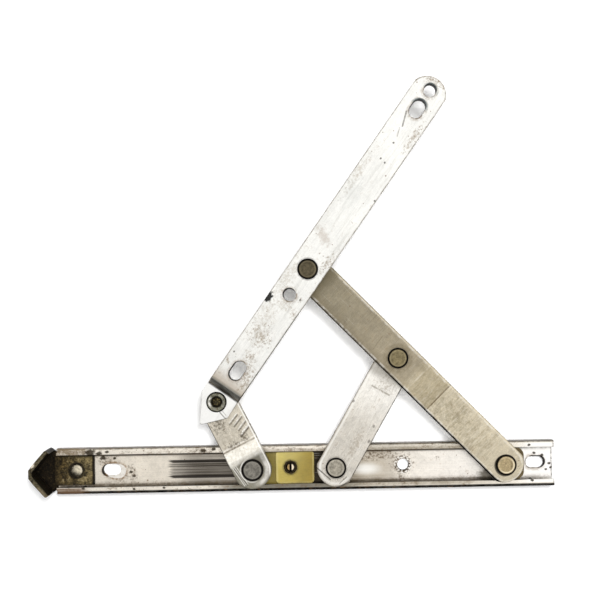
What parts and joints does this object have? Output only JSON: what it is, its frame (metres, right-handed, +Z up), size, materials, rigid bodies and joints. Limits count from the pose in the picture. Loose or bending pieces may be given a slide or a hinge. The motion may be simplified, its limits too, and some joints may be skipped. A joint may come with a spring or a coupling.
{
  "type": "friction stay hinge",
  "caption": "Flat steel friction stay for an outward-opening window sash: a C-section track with a sliding nylon shoe, linked arms and a nosed end cap, fully open.",
  "frame": {"origin": "centre of the track's flat underside, which is screwed to the window frame", "axes": "+X along the track towards the fixed pivot, +Y across the track towards the open arms, +Z up from the underside through the stack of arms"},
  "size_m": [0.2067, 0.1617, 0.0124],
  "materials": {
    "track_steel": "rolled, worn, stained",
    "sash_steel": "brushed lengthwise, lightly stained",
    "long_arm_steel": "brushed, warm grey",
    "link_steel": "brushed, light grey",
    "crank_steel": "brushed, scratched",
    "block_steel": "dull, grimy",
    "spacer_steel": "turned",
    "rivet_steel": "turned, satin",
    "rivet_dark": "turned, tarnished",
    "rivet_tan": "turned, worn rim",
    "screw_steel": "blackened",
    "insert_steel": "blackened",
    "screw_brass": "polished by the driver",
    "nylon": "aged, translucent yellow",
    "pad_nylon": "worn",
    "washer_nylon": "plain",
    "cap_plastic": "grimy, moulded"
  },
  "bodies": {
    "track": {"track": "track_steel", "end_cap": "cap_plastic", "end_cap_rivet": "rivet_steel", "pivot_block": "block_steel", "track_washer": "washer_nylon", "track_pivot_rivet": "rivet_tan"},
    "long_arm": {"long_arm": "long_arm_steel", "link_pivot_rivet": "rivet_dark", "link_washer": "washer_nylon", "sash_pivot_rivet": "rivet_dark", "sash_washer": "washer_nylon"},
    "mid_link": {"mid_link": "link_steel"},
    "slider": {"slider_plate": "block_steel", "slider_block": "nylon", "friction_pad": "pad_nylon", "screw_insert": "insert_steel", "link_spacer": "spacer_steel", "slider_link_rivet": "rivet_steel", "crank_spacer": "spacer_steel", "slider_crank_rivet": "rivet_steel"},
    "friction_screw": {"friction_screw": "screw_brass"},
    "crank_arm": {"crank_arm": "crank_steel", "tab_washer": "washer_nylon", "tab_pivot_screw": "screw_steel"},
    "sash_arm": {"sash_arm": "sash_steel"}
  },
  "joints": [
    {"name": "long_arm_swing", "type": "hinge", "parent": "track", "child": "long_arm", "pos_m": [0.079, 0, 0.0066], "axis": [0, 0, 1], "range_deg": [0, 45.6]},
    {"name": "mid_link_swing", "type": "hinge", "parent": "long_arm", "child": "mid_link", "pos_m": [0.03702, 0.04287, 0.0066], "axis": [0, 0, 1], "range_deg": [-107, 0.2]},
    {"name": "slider_swing", "type": "hinge", "parent": "mid_link", "child": "slider", "pos_m": [0.01207, 0, 0.0066], "axis": [0, 0, 1], "range_deg": [-0.2, 61.5]},
    {"name": "crank_swing", "type": "hinge", "parent": "slider", "child": "crank_arm", "pos_m": [-0.02073, 0, 0.0084], "axis": [0, 0, 1], "range_deg": [-0.2, 65.5]},
    {"name": "sash_arm_swing", "type": "hinge", "parent": "long_arm", "child": "sash_arm", "pos_m": [0.00232, 0.07831, 0.0114], "axis": [0, 0, 1], "range_deg": [-101.2, 0.2]},
    {"name": "friction_screw_turn", "type": "hinge", "parent": "slider", "child": "friction_screw", "pos_m": [-0.00583, 0, 0.0028], "axis": [0, 0, 1], "range_deg": [-180, 180]}
  ],
  "couplings": [
    {"joint": "mid_link_swing", "follows": "long_arm_swing", "ratio": -2.34},
    {"joint": "slider_swing", "follows": "long_arm_swing", "ratio": 1.34},
    {"joint": "crank_swing", "follows": "long_arm_swing", "ratio": 1.427},
    {"joint": "sash_arm_swing", "follows": "long_arm_swing", "ratio": -2.213}
  ]
}
